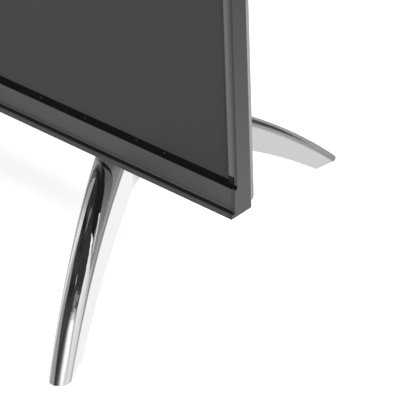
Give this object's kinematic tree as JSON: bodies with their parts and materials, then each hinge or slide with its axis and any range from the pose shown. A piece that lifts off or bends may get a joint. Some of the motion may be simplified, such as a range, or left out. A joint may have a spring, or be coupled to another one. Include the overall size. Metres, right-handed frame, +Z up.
{
  "type": "flat screen television",
  "caption": "Slim flat screen television with a dark grey metal band, a grooved lower bar, splayed chromed arch feet and sprung push keys on its back.",
  "frame": {"origin": "middle of the bounding box on the floor under the rubber pads", "axes": "+X along the screen to the viewer's right, +Y from the screen to its back, +Z up"},
  "size_m": [1.2286, 0.2614, 0.7811],
  "materials": {
    "band": "satin dark grey anodised",
    "bezel": "satin grey anodised",
    "bar": "satin dark grey anodised",
    "black_gloss": "gloss black",
    "black_matt": "fine spark texture",
    "lens": "dark smoked",
    "board": "solder resist",
    "panel_glass": "anti-glare, switched off",
    "white_plastic": "matt white",
    "clear_plastic": "clear acrylic",
    "bare_aluminium": "plain",
    "silver_paint": "silver grey powder coat",
    "zinc_steel": "zinc plated",
    "brass": "plain",
    "winding": "taped winding",
    "driver": "matt black",
    "key": "matt black",
    "chrome": "polished",
    "rubber": "matt black"
  },
  "bodies": {
    "set": {"frame_left": "band", "frame_right": "band", "frame_top": "band", "frame_bottom": "band", "bezel_left": "bezel", "bezel_right": "bezel", "bezel_top": "bezel", "front_bar": "bar", "black_strip": "black_gloss", "groove_strip": "black_matt", "receiver_lens": "lens", "receiver_board": "board", "lcd_glass": "panel_glass", "mid_frame": "white_plastic", "diffuser_films": "clear_plastic", "light_guide": "clear_plastic", "reflector_sheet": "white_plastic", "led_strip": "bare_aluminium", "led_packages": "white_plastic", "led_heat_sink": "bare_aluminium", "back_panel": "silver_paint", "rear_cover": "black_matt", "cover_screws": "zinc_steel", "wall_inserts": "brass", "main_board": "board", "main_heat_sink": "bare_aluminium", "power_board": "board", "power_transformers": "winding", "power_capacitors": "bare_aluminium", "timing_board": "board", "board_standoffs": "zinc_steel", "board_screws": "zinc_steel", "panel_ribbon": "white_plastic", "hdmi_sockets": "zinc_steel", "usb_sockets": "zinc_steel", "network_socket": "zinc_steel", "aerial_socket": "brass", "sound_sockets": "black_matt", "mains_inlet": "black_matt", "speaker_left": "black_matt", "speaker_right": "black_matt", "speaker_drivers": "driver", "key_board": "board", "foot_left": "chrome", "foot_right": "chrome", "foot_brackets": "zinc_steel", "foot_screws": "zinc_steel", "foot_pads": "rubber"},
    "power_key": {"key_power": "key"},
    "source_key": {"key_source": "key"},
    "menu_key": {"key_menu": "key"},
    "up_key": {"key_up": "key"},
    "down_key": {"key_down": "key"}
  },
  "joints": [
    {"name": "power_key_push", "type": "slide", "parent": "set", "child": "power_key", "axis": [0, -1, 0], "range_m": [0, 0.0008], "stiffness_N_per_m": 900},
    {"name": "source_key_push", "type": "slide", "parent": "set", "child": "source_key", "axis": [0, -1, 0], "range_m": [0, 0.0008], "stiffness_N_per_m": 900},
    {"name": "menu_key_push", "type": "slide", "parent": "set", "child": "menu_key", "axis": [0, -1, 0], "range_m": [0, 0.0008], "stiffness_N_per_m": 900},
    {"name": "up_key_push", "type": "slide", "parent": "set", "child": "up_key", "axis": [0, -1, 0], "range_m": [0, 0.0008], "stiffness_N_per_m": 900},
    {"name": "down_key_push", "type": "slide", "parent": "set", "child": "down_key", "axis": [0, -1, 0], "range_m": [0, 0.0008], "stiffness_N_per_m": 900}
  ]
}
